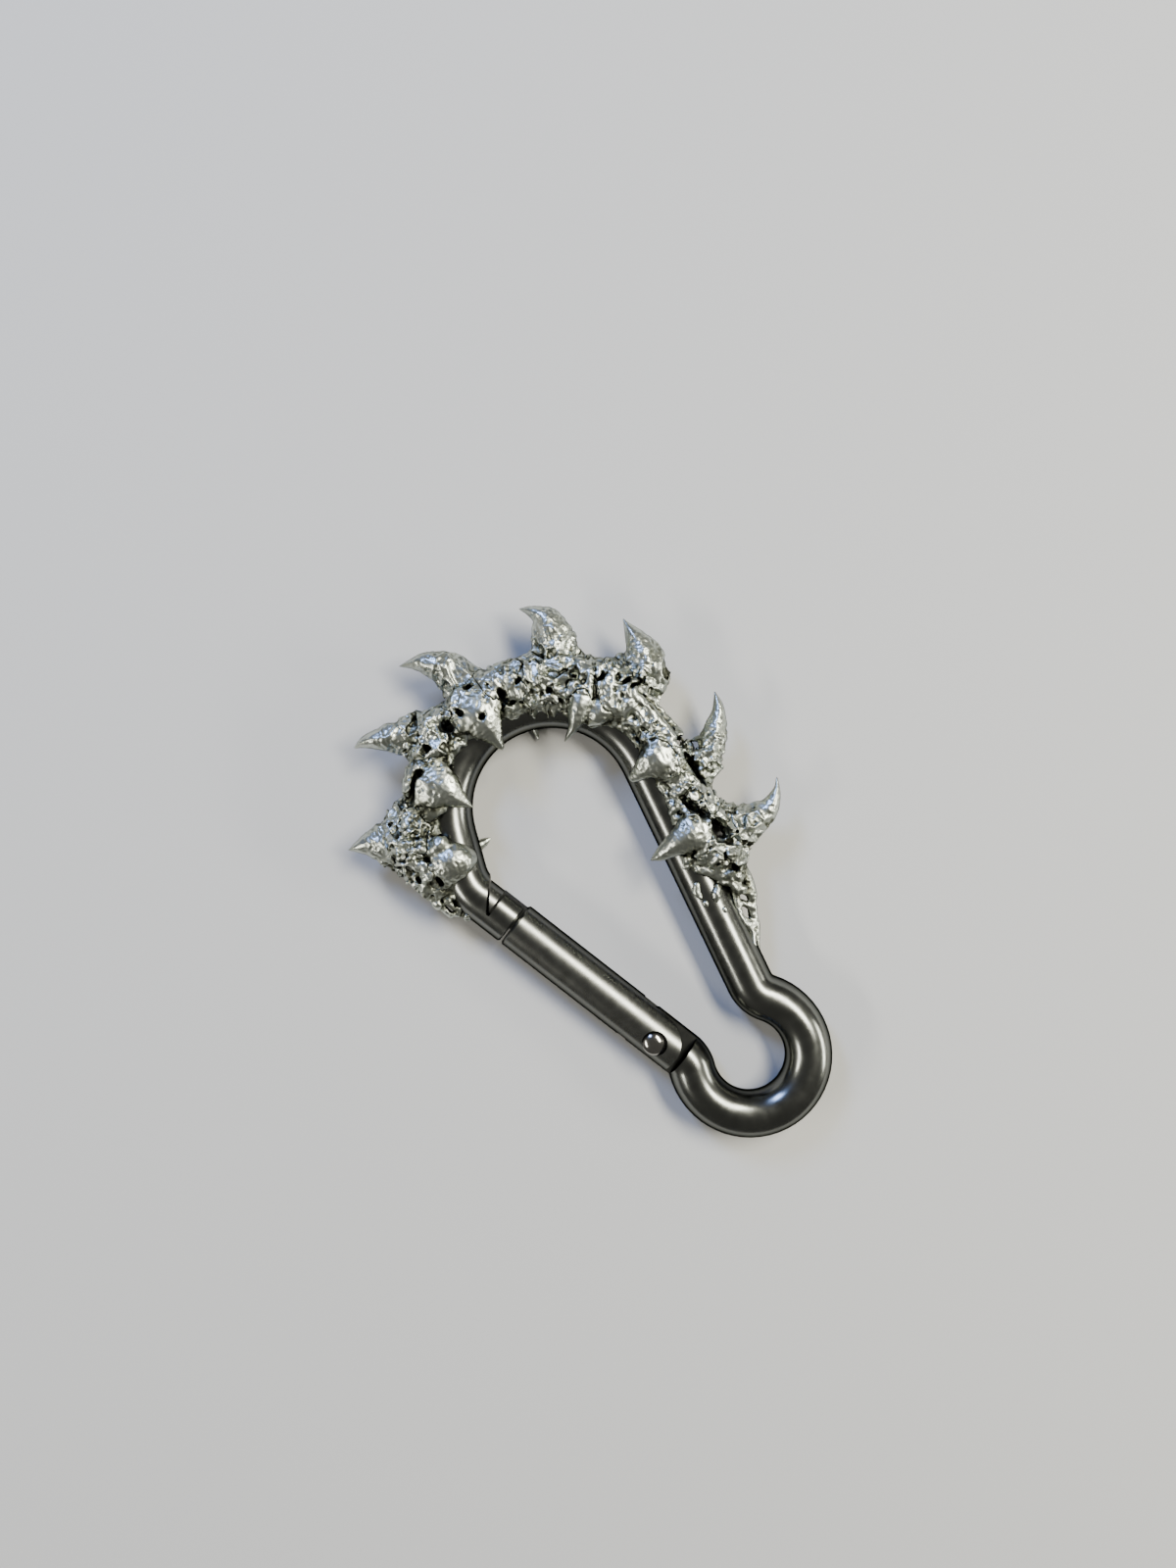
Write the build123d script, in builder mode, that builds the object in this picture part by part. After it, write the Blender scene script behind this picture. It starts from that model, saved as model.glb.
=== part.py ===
from build123d import *
from math import atan2, cos, degrees, hypot, radians, sin, sqrt
import os

os.makedirs("parts", exist_ok=True)

# Carabiner keyring: a pear-shaped spring snap hook bent from stainless rod, with a crust of
# cast white metal and curved thorns round its bow and down its spine.
# Frame: origin at the centre of the small eye, in the mid-plane of the rod. +Y runs to the bow,
# +X to the spine, +Z is up, so the gate is on the -X side and the hook lies flat.

# ---- driving dimensions: millimetres and degrees ---------------------------------------------

ROD_D = 6.3  # frame rod and gate rod
EYE_R = 7.9  # centreline of the small eye
BOW_R = 13.7  # centreline of the big bow
BOW_Y = 42.2  # eye centre to bow centre
SPINE_LEAN = 13.0  # how far the spine leans out
SPINE_BEND_R = 4.0  # the reverse bend between spine and eye
GATE_LEAN = 13.5  # how far the gate's line leans out
GATE_OFFSET = 5.47  # eye centre to the gate's line
GATE_BEND_R = 3.5  # the reverse bend between eye and gate
BOW_LEAVE = 157.0  # where the bow runs straight into the nose
NOSE_BEND_R = 6.0

PIVOT_UP = 11.35  # rivet above the foot of the eye centre on the gate's line
PIVOT_OUT = 0.8  # rivet outside the gate's line
GATE_LENGTH = 24.0  # rivet to the gate's free end face
GATE_TAIL = 3.5  # rivet to the gate's lower end
TRAVEL = 40.0  # the gate's opening angle, 1.5 short of its head meeting the spine
RIVET_R = 1.1
RIVET_HEAD_R = 1.6
RIVET_SEAT = 2.3  # seat of a head over the mid-plane
RUNNING_GAP = 0.06  # rivet in the tongue's hole

TONGUE_T = 2.2  # flattened end of the frame inside the gate's fork
FORK_GAP = 2.4
FORK_DEPTH = 4.4  # above the rivet
CAM_R = 2.9  # rivet to the cam's flat
CAM_RATE = 1.5  # plunger travel for one radian of the gate, mm

NOSE_GAP = 0.3  # gate end to nose
NOSE_BLOCK = 3.1  # nose end to the catch's notch
NOTCH_RISE = 3.0  # slope of the notch along the rod
NECK_T = 2.0
NECK_SLOT = 2.4
NOSE_FLAT = 0.75  # milled off the nose's inner side
CATCH_GAP = 0.35
HEAD_INSET = 0.45  # how far the gate's head and neck stand in from the rod's surface

BORE_R = 2.0  # blind bore of the gate
BORE_TOP = 15.5  # above the rivet
PLUNGER_R = 1.92
PLUNGER_HEAD = 3.6
STEM_R = 1.0
STEM_LENGTH = 3.5
SPRING_R = 1.5  # to the middle of the wire
SPRING_WIRE = 0.5
SPRING_TURNS = 7


# ---- places worked out from them ---------------------------------------------------------------

ROD_R = ROD_D / 2
BOW = Vector(0, BOW_Y, 0)
UP = Vector(0, 0, 1)
spine_up = Vector(sin(radians(SPINE_LEAN)), cos(radians(SPINE_LEAN)), 0)
spine_out = Vector(cos(radians(SPINE_LEAN)), -sin(radians(SPINE_LEAN)), 0)
gate_up = Vector(-sin(radians(GATE_LEAN)), cos(radians(GATE_LEAN)), 0)
gate_in = Vector(cos(radians(GATE_LEAN)), sin(radians(GATE_LEAN)), 0)
PIVOT = gate_in * -(GATE_OFFSET + PIVOT_OUT) + gate_up * PIVOT_UP

# Everything at the gate is drawn on this plane: the rivet at its origin, x to the inside of the
# hook, y along the gate to its free end. The rod's axis is the line x = PIVOT_OUT.
gate_plane = Plane(origin=PIVOT, x_dir=gate_in, z_dir=UP)


def on_gate(x, y, z=0.0):
    """A point of the gate's plane in the hook's frame."""
    return PIVOT + gate_in * x + gate_up * y + UP * z


def around(centre, radius, angle, z=0.0):
    """A point at an angle on a circle in the mid-plane, or at a height over it."""
    return centre + Vector(radius * cos(radians(angle)), radius * sin(radians(angle)), z)


def angle_of(point):
    return degrees(atan2(point.Y, point.X))


def reverse_bend(offset, radius):
    """How far up a straight leg its bend into the eye starts."""
    return sqrt((EYE_R + radius) ** 2 - (offset + radius) ** 2)


spine_offset = BOW_R - BOW_Y * sin(radians(SPINE_LEAN))
spine_bend_up = reverse_bend(spine_offset, SPINE_BEND_R)
spine_bend = spine_out * (spine_offset + SPINE_BEND_R) + spine_up * spine_bend_up
gate_bend_up = reverse_bend(GATE_OFFSET, GATE_BEND_R)
gate_bend = gate_in * -(GATE_OFFSET + GATE_BEND_R) + gate_up * gate_bend_up
shoulder = gate_bend_up - PIVOT_UP

bow_start = around(BOW, BOW_R, BOW_LEAVE)
bow_end = around(BOW, BOW_R, -SPINE_LEAN)
nose_fall = Vector(-sin(radians(BOW_LEAVE)), cos(radians(BOW_LEAVE)), 0)
nose_end = GATE_LENGTH + NOSE_GAP
notch_y = nose_end + NOSE_BLOCK
notch_x = 0.0
inner_x = PIVOT_OUT + ROD_R
outer_x = PIVOT_OUT - ROD_R
plunger_y = CAM_R + 0.05

# The nose's corner is where the bow's tangent meets the gate's line.
to_line = (on_gate(PIVOT_OUT, 0) - bow_start).dot(gate_in) / nose_fall.dot(gate_in)
nose_corner = bow_start + nose_fall * to_line


# ---- the frame ---------------------------------------------------------------------------------

def cam_point(turn):
    """A point of the involute cam that lifts the plunger evenly as the gate turns."""
    lift = CAM_R + CAM_RATE * radians(turn)
    across = lift * sin(radians(turn)) + CAM_RATE * cos(radians(turn))
    along = lift * cos(radians(turn)) - CAM_RATE * sin(radians(turn))
    return (across, along)


CAM_TURNS = [(TRAVEL + 1) * share / 5 for share in range(6)]
cam_tangent = (cos(radians(CAM_TURNS[-1])), -sin(radians(CAM_TURNS[-1])))

with BuildPart() as hook_frame:
    with BuildLine() as rod_line:
        FilletPolyline(on_gate(PIVOT_OUT, nose_end), nose_corner, bow_start, radius=NOSE_BEND_R)
        CenterArc(BOW, BOW_R, BOW_LEAVE, -(BOW_LEAVE + SPINE_LEAN))
        Line(bow_end, spine_out * spine_offset + spine_up * spine_bend_up)
        in_angle = angle_of(spine_bend)
        out_angle = angle_of(gate_bend)
        CenterArc(spine_bend, SPINE_BEND_R, 180 - SPINE_LEAN, in_angle + SPINE_LEAN)
        CenterArc((0, 0), EYE_R, in_angle, out_angle - in_angle - 360)
        CenterArc(gate_bend, GATE_BEND_R, out_angle - 180, 180 - out_angle + GATE_LEAN)
        Line(on_gate(PIVOT_OUT, shoulder), on_gate(PIVOT_OUT, CAM_R + 0.5))
    with BuildSketch(Plane(origin=on_gate(PIVOT_OUT, nose_end), z_dir=gate_up)):
        Circle(ROD_R)
    sweep(path=rod_line.wire())
    rims = hook_frame.edges().filter_by(GeomType.CIRCLE)
    chamfer(rims.sort_by_distance(on_gate(PIVOT_OUT, nose_end))[0], 0.25)

    # The lower end is milled to a tongue in the mid-plane, with the cam along its top.
    for side in (1, -1):
        with BuildSketch(gate_plane.offset(side * TONGUE_T / 2)):
            with Locations((PIVOT_OUT, shoulder)):
                Rectangle(2 * ROD_D, 2 * ROD_D, align=(Align.CENTER, Align.MIN))
        extrude(amount=side * ROD_D, mode=Mode.SUBTRACT)
    with BuildSketch(gate_plane):
        with BuildLine():
            Line((-ROD_D, CAM_R), cam_point(0))
            Spline([cam_point(turn) for turn in CAM_TURNS], tangents=((1, 0), cam_tangent))
            cam_end = cam_point(CAM_TURNS[-1])
            cam_edge = (cam_end[0] + 2 * cam_tangent[0], cam_end[1] + 2 * cam_tangent[1])
            Polyline(cam_end, cam_edge, (2 * ROD_D, ROD_D), (-ROD_D, ROD_D), (-ROD_D, CAM_R))
        make_face()
    extrude(amount=ROD_D, both=True, mode=Mode.SUBTRACT)
    with BuildSketch(gate_plane):
        Circle(RIVET_R + RUNNING_GAP)
    extrude(amount=ROD_D, both=True, mode=Mode.SUBTRACT)

    # The nose has a milled flat, a slot for the gate's neck and a notch for its head.
    with BuildSketch(gate_plane):
        with Locations((inner_x - NOSE_FLAT, nose_end - 1)):
            Rectangle(ROD_D, NOSE_BLOCK + 1, align=(Align.MIN, Align.MIN))
        with BuildLine():
            Polyline(
                (notch_x - 0.15, notch_y),
                (inner_x + 1, notch_y),
                (inner_x + 1, notch_y + NOTCH_RISE * (ROD_D + 2) / ROD_D),
                (notch_x - 0.15, notch_y + 0.45),
                close=True,
            )
        make_face()
    extrude(amount=ROD_D, both=True, mode=Mode.SUBTRACT)
    with BuildSketch(gate_plane):
        with Locations((notch_x - 0.15, nose_end - 1)):
            Rectangle(ROD_D, NOSE_BLOCK + 1.5, align=(Align.MIN, Align.MIN))
    extrude(amount=NECK_SLOT / 2, both=True, mode=Mode.SUBTRACT)


# ---- the gate and what it holds ----------------------------------------------------------------

head_y = notch_y + CATCH_GAP
gate_side = Plane(origin=on_gate(PIVOT_OUT, -GATE_TAIL), z_dir=gate_up)

with BuildPart() as gate:
    with BuildSketch(gate_side):
        Circle(ROD_R)
    extrude(amount=GATE_TAIL + GATE_LENGTH)
    rims = gate.edges().filter_by(GeomType.CIRCLE)
    chamfer(rims.sort_by_distance(on_gate(PIVOT_OUT, GATE_LENGTH))[0], 0.25)
    # The head is a wedge a little slimmer than the rod, and a thin neck carries it.
    with BuildSketch(Plane(origin=on_gate(PIVOT_OUT, head_y), z_dir=gate_up)):
        Circle(ROD_R - HEAD_INSET)
    extrude(amount=NOTCH_RISE)
    with BuildSketch(gate_plane):
        with BuildLine():
            Polyline(
                (notch_x + 0.3, head_y),
                (inner_x, notch_y + NOTCH_RISE),
                (inner_x, head_y + ROD_D),
                (outer_x, head_y + ROD_D),
                (outer_x, head_y),
                close=True,
            )
        make_face()
    extrude(amount=ROD_D, both=True, mode=Mode.SUBTRACT)
    with BuildSketch(gate_plane):
        with Locations((notch_x, GATE_LENGTH - 1)):
            neck_width = inner_x - HEAD_INSET - notch_x
            Rectangle(neck_width, head_y + 1.05 - GATE_LENGTH, align=(Align.MIN, Align.MIN))
    extrude(amount=NECK_T / 2, both=True)

    # The lower end is a fork, rounded about the rivet on the inner side.
    with BuildSketch(gate_plane):
        with BuildLine():
            CenterArc((0, 0), GATE_TAIL, -90, 90)
            Polyline(
                (GATE_TAIL, 0),
                (inner_x, GATE_TAIL + 0.5),
                (inner_x + 1, GATE_TAIL + 0.5),
                (inner_x + 1, -GATE_TAIL - 1),
                (0, -GATE_TAIL - 1),
                (0, -GATE_TAIL),
            )
        make_face()
    extrude(amount=ROD_D, both=True, mode=Mode.SUBTRACT)
    with BuildSketch(gate_plane):
        with Locations((PIVOT_OUT, -GATE_TAIL - 1)):
            Rectangle(2 * ROD_D, FORK_DEPTH + GATE_TAIL + 1, align=(Align.CENTER, Align.MIN))
    extrude(amount=FORK_GAP / 2, both=True, mode=Mode.SUBTRACT)
    with BuildSketch(gate_side):
        Circle(BORE_R)
    extrude(amount=GATE_TAIL + BORE_TOP, mode=Mode.SUBTRACT)
    with BuildSketch(gate_plane):
        Circle(RIVET_R)
    extrude(amount=ROD_D, both=True, mode=Mode.SUBTRACT)
    for side in (1, -1):
        with BuildSketch(gate_plane.offset(side * RIVET_SEAT)):
            Circle(RIVET_HEAD_R + 0.1)
        extrude(amount=side * ROD_D, mode=Mode.SUBTRACT)

with BuildPart() as pivot_rivet:
    with BuildSketch(Plane(origin=PIVOT, x_dir=gate_in, z_dir=-gate_up)):
        with BuildLine():
            Polyline(
                (0, -ROD_R),
                (0, ROD_R),
            )
            for side in (1, -1):
                ThreePointArc(
                    (0, side * ROD_R),
                    (RIVET_HEAD_R * 0.62, side * (ROD_R - 0.16)),
                    (RIVET_HEAD_R, side * (RIVET_SEAT + 0.25)),
                )
                Polyline(
                    (RIVET_HEAD_R, side * (RIVET_SEAT + 0.25)),
                    (RIVET_HEAD_R, side * RIVET_SEAT),
                    (RIVET_R, side * RIVET_SEAT),
                )
            Line((RIVET_R, RIVET_SEAT), (RIVET_R, -RIVET_SEAT))
        make_face()
    revolve(axis=Axis(PIVOT, UP))

with BuildPart() as plunger:
    with BuildSketch(Plane(origin=on_gate(PIVOT_OUT, plunger_y), z_dir=gate_up)):
        Circle(PLUNGER_R)
    extrude(amount=PLUNGER_HEAD)
    with BuildSketch(Plane(origin=on_gate(PIVOT_OUT, plunger_y + PLUNGER_HEAD), z_dir=gate_up)):
        Circle(STEM_R)
    extrude(amount=STEM_LENGTH)
    rims = plunger.edges().filter_by(GeomType.CIRCLE)
    chamfer(rims.sort_by_distance(on_gate(PIVOT_OUT, BORE_TOP))[0], 0.3)

spring_low = plunger_y + PLUNGER_HEAD + SPRING_WIRE / 2 + 0.05
spring_length = BORE_TOP - SPRING_WIRE / 2 - 0.05 - spring_low
with BuildPart() as gate_spring:
    with BuildLine() as coil:
        Helix(
            spring_length / SPRING_TURNS,
            spring_length,
            SPRING_R,
            center=on_gate(PIVOT_OUT, spring_low),
            direction=gate_up,
        )
    with BuildSketch(Plane(origin=coil.line @ 0, z_dir=coil.line % 0)):
        Circle(SPRING_WIRE / 2)
    sweep(path=coil.line, is_frenet=True)

# ---- the crust: one casting in eight runs, from the nose round the bow and down the spine -------

# Each run on the bow: its two angles, the middle of its section from the bow's centre, the
# section's half width and its top over the mid-plane.
BOW_RUNS = {
    "nose_crust": (191, 160, 17.3, 3.7, 4.6),
    "bow_crust_1": (160, 128, 16.5, 3.9, 5.2),
    "bow_crust_2": (128, 97, 16.3, 3.8, 4.9),
    "bow_crust_3": (97, 64, 16.4, 4.0, 5.2),
    "bow_crust_4": (64, 30, 16.3, 3.9, 5.4),
    "bow_crust_5": (30, -SPINE_LEAN, 16.7, 4.0, 5.0),
}
# Each run on the spine: how far down it starts and ends, its middle outside the rod's centreline,
# its half width and its top.
SPINE_RUNS = {
    "spine_crust_1": (0, 9.5, 3.2, 3.9, 4.9),
    "spine_crust_2": (9.5, 18.5, 3.0, 3.6, 4.6),
}


def on_spine(out, down, z=0.0):
    """A point beside the spine: outwards from the rod's centreline and down from the bow."""
    return bow_end + spine_out * out - spine_up * down + UP * z


# Gaps right through the crust, where the dark table shows: place and radius.
GAPS = [
    (-4.6, 58.9, 0.9),
    (-11.3, 56.6, 1.0),
    (13.6, 54.2, 1.0),
    (18.6, 38.0, 1.1),
    (15.6, 26.6, 1.2),
]

# A run's section is an oval that reaches from the table to its top; the rod is cut out of it.
crust = {}
for name, (start, end, middle, half_width, top) in BOW_RUNS.items():
    outward = around(Vector(0, 0, 0), 1, start)
    with BuildPart() as run:
        with BuildSketch(Plane(origin=BOW, x_dir=outward, z_dir=outward.cross(UP))):
            with Locations((middle, (top - ROD_R) / 2)):
                Ellipse(half_width, (top + ROD_R) / 2)
        revolve(axis=Axis(BOW, -UP), revolution_arc=start - end)
        add(hook_frame.part, mode=Mode.SUBTRACT)
        for x, y, radius in GAPS:
            with Locations((x, y, 0)):
                Cylinder(radius, 4 * ROD_D, mode=Mode.SUBTRACT)
    crust[name] = run

for name, (start, end, middle, half_width, top) in SPINE_RUNS.items():
    with BuildPart() as run:
        with BuildSketch(Plane(origin=on_spine(0, start), x_dir=spine_out, z_dir=-spine_up)):
            with Locations((middle, (top - ROD_R) / 2)):
                Ellipse(half_width, (top + ROD_R) / 2)
        extrude(amount=end - start)
        add(hook_frame.part, mode=Mode.SUBTRACT)
        for x, y, radius in GAPS:
            with Locations((x, y, 0)):
                Cylinder(radius, 4 * ROD_D, mode=Mode.SUBTRACT)
    crust[name] = run

# ---- the thorns --------------------------------------------------------------------------------


def thorn(root, middle, tip, half_width, half_height):
    """A horn along a curve through three guide points, wide at its root and fine at its tip."""
    with BuildPart() as spike:
        with BuildLine() as spine_line:
            Bezier(root, middle, tip)
        for share, taper in ((0, 1.0), (0.35, 0.7), (0.7, 0.34), (1, 0.06)):
            place = spine_line.line @ share
            along = spine_line.line % share
            with BuildSketch(Plane(origin=place, x_dir=along.cross(UP), z_dir=along)):
                Ellipse(half_width * taper, half_height * taper)
        loft()
        add(hook_frame.part, mode=Mode.SUBTRACT)
        for run in crust.values():
            add(run.part, mode=Mode.SUBTRACT)
        for x, y, radius in GAPS:
            with Locations((x, y, 0)):
                Cylinder(radius, 4 * ROD_D, mode=Mode.SUBTRACT)
    return spike


# Outer thorns: root, middle and tip of the horn's line, and half its width and height there.
OUTER_THORNS = [
    ((-15.0, 48.6, 0.8), (-19.5, 53.5, 2.2), (-24.1, 54.6, 1.4), 4.3, 2.8),
    ((-6.0, 58.0, 0.8), (-11.0, 62.2, 2.6), (-15.2, 64.2, 1.6), 3.1, 2.3),
    ((3.2, 59.5, 0.8), (0.4, 66.4, 2.6), (-3.6, 69.1, 2.0), 2.5, 2.2),
    ((11.0, 54.5, 1.0), (16.6, 62.4, 3.4), (13.1, 64.9, 3.0), 3.2, 2.4),
    ((17.6, 46.5, 0.8), (23.6, 50.6, 2.6), (22.6, 55.2, 2.8), 3.0, 2.4),
    ((16.6, 35.6, 0.8), (24.6, 35.6, 2.4), (26.3, 40.6, 2.2), 3.2, 2.3),
    ((15.0, 23.6, 0.6), (23.6, 22.4, 2.0), (25.4, 26.7, 2.4), 2.6, 2.1),
]
# Inner thorns start on top of the rod and hook over it into the loop.
INNER_THORNS = [
    ((-15.6, 47.4, 2.4), (-14.0, 45.8, 5.8), (-11.6, 43.4, 4.2), 2.1, 1.6),
    ((-10.8, 56.3, 2.4), (-9.6, 53.0, 6.4), (-7.7, 48.7, 3.8), 2.4, 1.8),
    ((2.2, 58.2, 2.6), (1.4, 55.4, 6.2), (-0.1, 52.2, 4.2), 1.9, 1.4),
    ((12.6, 52.4, 2.6), (10.0, 50.6, 6.4), (6.8, 47.8, 4.2), 1.4, 1.2),
    ((15.6, 37.6, 2.6), (13.4, 38.4, 6.2), (10.9, 38.7, 4.2), 2.2, 1.6),
    ((12.8, 29.6, 2.4), (9.8, 29.4, 6.2), (6.1, 28.6, 3.8), 2.0, 1.6),
]

thorns = {}
for number, guide in enumerate(OUTER_THORNS, 1):
    thorns[f"outer_thorn_{number}"] = thorn(*guide)
for number, guide in enumerate(INNER_THORNS, 1):
    thorns[f"inner_thorn_{number}"] = thorn(*guide)

# Two small spurs under the rod, whose tips show inside the bow.
SPURS = [
    ((-12.2, 44.6, -1.8), (-11.0, 44.3, -2.6), (-9.4, 44.1, -2.3), 0.8, 0.7),
    ((5.6, 53.2, -1.8), (4.9, 52.1, -2.6), (4.3, 50.6, -2.3), 0.8, 0.7),
]
for number, guide in enumerate(SPURS, 1):
    thorns[f"inner_spur_{number}"] = thorn(*guide)

# ---- the crust's lower end ---------------------------------------------------------------------

# The crust ends in a thin tail of run-together beads along the spine's outer side.
thorns["crust_tail"] = thorn(
    on_spine(4.2, 17.4, 0.8), on_spine(4.7, 24, 0.9), on_spine(3.4, 30, 0.3), 1.4, 1.4
)

# Drops that ran onto the top of the spine: out, down and radius.
DROPS = [(-1.2, 18.0, 0.75), (-0.9, 20.0, 0.6), (0.9, 19.6, 0.7), (1.0, 22.0, 0.5)]
with BuildPart() as solder_drops:
    for out, down, radius in DROPS:
        with Locations(on_spine(out, down, sqrt(ROD_R**2 - out**2) + 0.1)):
            Sphere(radius)
    add(hook_frame.part, mode=Mode.SUBTRACT)
    for run in crust.values():
        add(run.part, mode=Mode.SUBTRACT)

pieces = {
    "hook_frame": hook_frame,
    "gate": gate,
    "pivot_rivet": pivot_rivet,
    "plunger": plunger,
    "gate_spring": gate_spring,
    **crust,
    **thorns,
    "solder_drops": solder_drops,
}
for name, piece in pieces.items():
    box = piece.part.bounding_box()
    print(name, round(piece.part.volume, 2), len(piece.part.solids()), box.min, box.max)
    piece.part.label = name
    export_step(piece.part, f"parts/{name}.step")
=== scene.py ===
import math

import bpy
import numpy as np
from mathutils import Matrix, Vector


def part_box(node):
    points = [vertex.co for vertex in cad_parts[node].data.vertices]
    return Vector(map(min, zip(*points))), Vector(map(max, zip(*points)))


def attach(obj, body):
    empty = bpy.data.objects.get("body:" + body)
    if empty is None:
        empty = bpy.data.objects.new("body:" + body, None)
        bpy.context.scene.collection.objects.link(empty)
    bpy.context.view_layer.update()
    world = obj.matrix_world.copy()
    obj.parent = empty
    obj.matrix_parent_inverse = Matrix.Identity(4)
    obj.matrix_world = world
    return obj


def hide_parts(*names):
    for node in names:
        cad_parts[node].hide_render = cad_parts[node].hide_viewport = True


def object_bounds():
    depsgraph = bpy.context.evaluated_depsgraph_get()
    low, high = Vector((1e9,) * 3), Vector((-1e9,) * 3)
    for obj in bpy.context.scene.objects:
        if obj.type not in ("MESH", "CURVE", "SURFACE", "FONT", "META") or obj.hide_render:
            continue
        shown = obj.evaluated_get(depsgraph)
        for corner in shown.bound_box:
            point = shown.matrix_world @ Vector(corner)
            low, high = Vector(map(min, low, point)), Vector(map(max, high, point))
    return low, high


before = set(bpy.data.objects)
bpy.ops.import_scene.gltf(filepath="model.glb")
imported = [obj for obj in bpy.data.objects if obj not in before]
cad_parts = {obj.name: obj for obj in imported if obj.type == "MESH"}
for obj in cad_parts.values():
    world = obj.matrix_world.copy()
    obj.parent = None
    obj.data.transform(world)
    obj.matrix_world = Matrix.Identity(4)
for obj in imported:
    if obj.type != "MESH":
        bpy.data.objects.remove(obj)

import openvdb
from mathutils import Matrix, Vector

cad_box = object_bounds()

# The cast crust is one lumpy field of distances, in millimetres, worked out on a grid round the
# rod. It is cut into the CAD's own pieces where one lump meets the next, and each is meshed.
MM = 0.001
STEP = 0.13
UP = np.array((0.0, 0.0, 1.0))
FAR = 9.0  # a distance that stands for nowhere near

# ---- measures of the hook frame, from its CAD box ----------------------------------------------

hook_low, hook_high = (np.array(corner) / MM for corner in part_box("hook_frame"))
ROD_R = hook_high[2]
TABLE = hook_low[2]
BOW_R = hook_high[0] - ROD_R
BOW = np.array((0.0, hook_high[1] - hook_high[0], 0.0))
LEAN = math.radians(13)
SPINE_OUT = np.array((math.cos(LEAN), -math.sin(LEAN), 0.0))
SPINE_DOWN = np.array((-math.sin(LEAN), -math.cos(LEAN), 0.0))
BOW_END = BOW + SPINE_OUT * BOW_R


def bow(angle, radius, z=0.0):
    """A point round the bow: degrees from +X, distance from the bow's centre, height."""
    turn = math.radians(angle)
    return BOW + np.array((math.cos(turn) * radius, math.sin(turn) * radius, z))


def spine(down, out, z=0.0):
    """A point beside the straight spine: down from the bow, out from the rod's middle, height."""
    return BOW_END + SPINE_DOWN * down + SPINE_OUT * out + UP * z


# ---- the grid ----------------------------------------------------------------------------------

CAST_WORDS = ("nose_", "bow_", "spine_", "crust_", "outer_", "inner_", "solder_")
ORNAMENT = [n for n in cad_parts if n.startswith(CAST_WORDS)]
MARGIN = np.array((2.6, 2.6, 1.5))
GRID_LOW = np.min([np.array(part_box(n)[0]) / MM for n in ORNAMENT], axis=0) - MARGIN
GRID_HIGH = np.max([np.array(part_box(n)[1]) / MM for n in ORNAMENT], axis=0) + MARGIN
GRID_LOW[2] = TABLE - 3 * STEP  # a few steps under the table, so that every mesh closes
SHAPE = np.ceil((GRID_HIGH - GRID_LOW) / STEP).astype(int) + 1


def window(low, high):
    """The part of the grid inside a box: its slices, and the x, y and z of its points."""
    first = np.clip(np.floor((np.array(low) - GRID_LOW) / STEP).astype(int), 0, SHAPE - 2)
    last = np.clip(np.ceil((np.array(high) - GRID_LOW) / STEP).astype(int) + 1, first + 2, SHAPE)
    cut = tuple(slice(a, b) for a, b in zip(first, last))
    x, y, z = (
        (GRID_LOW[k] + STEP * np.arange(first[k], last[k])).astype(np.float32) for k in range(3)
    )
    return cut, (x[:, None, None], y[None, :, None], z[None, None, :])


def melt(a, b, width):
    """The union of two distances, with the valley between them filled over that width."""
    near = np.maximum(width - np.abs(a - b), 0) / width
    return np.minimum(a, b) - near * near * (width / 4)


def smooth_rows(rows, count):
    """More rows along a smooth curve through the given ones, by Catmull-Rom."""
    rows = np.array(rows, float)
    padded = np.vstack((2 * rows[0] - rows[1], rows, 2 * rows[-1] - rows[-2]))
    made = []
    for k in range(len(rows) - 1):
        a, b, c, d = padded[k : k + 4]
        for t in np.arange(count) / count:
            curve = 2 * b + (c - a) * t + (2 * a - 5 * b + 4 * c - d) * t * t
            made.append(0.5 * (curve + (3 * b - a - 3 * c + d) * t**3))
    made.append(rows[-1])
    made = np.array(made)
    # The curve may overshoot, and a limb's half width and height must stay above zero.
    made[:, 3:] = np.maximum(made[:, 3:], rows[:, 3:].min(axis=0) * 0.9)
    return made


def limb(place, rows, ridge=2.0):
    """Distance to a limb along rows of x, y, z, half width and half height, and the share of its
    length at the nearest point. Its width lies level; a ridge under 2 gives it sharper edges."""
    x, y, z = place
    nearest, share = None, None
    for k in range(len(rows) - 1):
        a, b = rows[k, :3], rows[k + 1, :3]
        axis = b - a
        length = np.linalg.norm(axis) + 1e-6
        along = axis / length
        side = np.cross(UP, along)
        side = side / (np.linalg.norm(side) + 1e-6)
        lift = np.cross(along, side)
        dx, dy, dz = x - a[0], y - a[1], z - a[2]
        run = dx * along[0] + dy * along[1] + dz * along[2]
        t = np.clip(run / length, 0, 1)
        rest = run - t * length
        wide = np.abs(dx * side[0] + dy * side[1] + dz * side[2])
        tall = np.abs(dx * lift[0] + dy * lift[1] + dz * lift[2])
        half_width = rows[k, 3] + t * (rows[k + 1, 3] - rows[k, 3])
        half_height = rows[k, 4] + t * (rows[k + 1, 4] - rows[k, 4])
        thin = np.minimum(half_width, half_height)
        if ridge == 2.0:
            ratio = np.sqrt((wide / half_width) ** 2 + (tall / half_height) ** 2)
        else:
            ratio = (wide / half_width) ** ridge + (tall / half_height) ** ridge
            ratio = ratio ** (1 / ridge)
        distance = (np.sqrt(ratio * ratio + (rest / thin) ** 2) - 1) * thin
        if nearest is None:
            nearest, share = distance, (k + t) / (len(rows) - 1)
        else:
            closer = distance < nearest
            share = np.where(closer, (k + t) / (len(rows) - 1), share)
            nearest = np.where(closer, distance, nearest)
    return nearest.astype(np.float32), share.astype(np.float32)


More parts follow.
